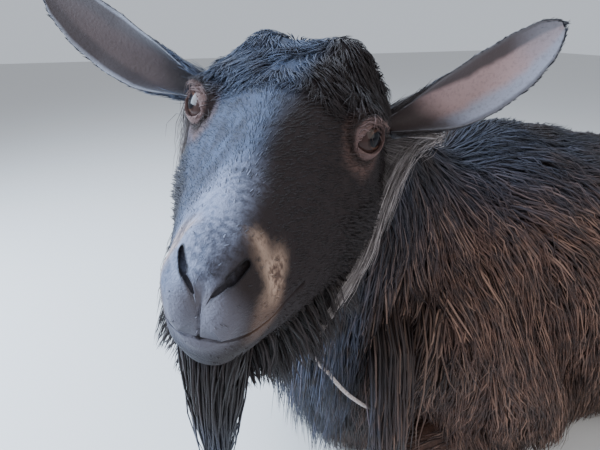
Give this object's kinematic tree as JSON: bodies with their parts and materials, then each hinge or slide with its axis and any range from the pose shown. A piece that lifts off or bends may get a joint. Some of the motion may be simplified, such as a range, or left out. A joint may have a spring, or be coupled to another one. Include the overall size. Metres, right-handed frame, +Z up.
{
  "type": "billy goat",
  "caption": "Life-size still model of a long-haired black-brown billy goat lying on its chest, head turned to its left, ears out, beard, hornless crown and thin twine collar.",
  "frame": {"origin": "middle of the bounding box at the floor that the goat lies on", "axes": "+X from the chest to the tail along the back, -Y to the goat's left side, +Z up"},
  "size_m": [1.2526, 0.555, 0.634],
  "materials": {
    "coat": "long coarse hair, satin",
    "ear_skin": "short-haired skin, matte",
    "eye": "wet gloss",
    "hoof_horn": "worn horn, matte",
    "twine": "twisted twine, matte"
  },
  "bodies": {
    "root": {"torso": "coat", "neck": "coat", "head": "coat", "tail": "coat", "foreleg_left": "coat", "foreleg_right": "coat", "hindleg_left": "coat", "hindleg_right": "coat", "ear_left": "ear_skin", "ear_right": "ear_skin", "eye_left": "eye", "eye_right": "eye", "forehoof_left_inner": "hoof_horn", "forehoof_left_outer": "hoof_horn", "forehoof_right_inner": "hoof_horn", "forehoof_right_outer": "hoof_horn", "hindhoof_left_inner": "hoof_horn", "hindhoof_left_outer": "hoof_horn", "hindhoof_right_inner": "hoof_horn", "hindhoof_right_outer": "hoof_horn", "collar_cord": "twine"}
  },
  "joints": []
}
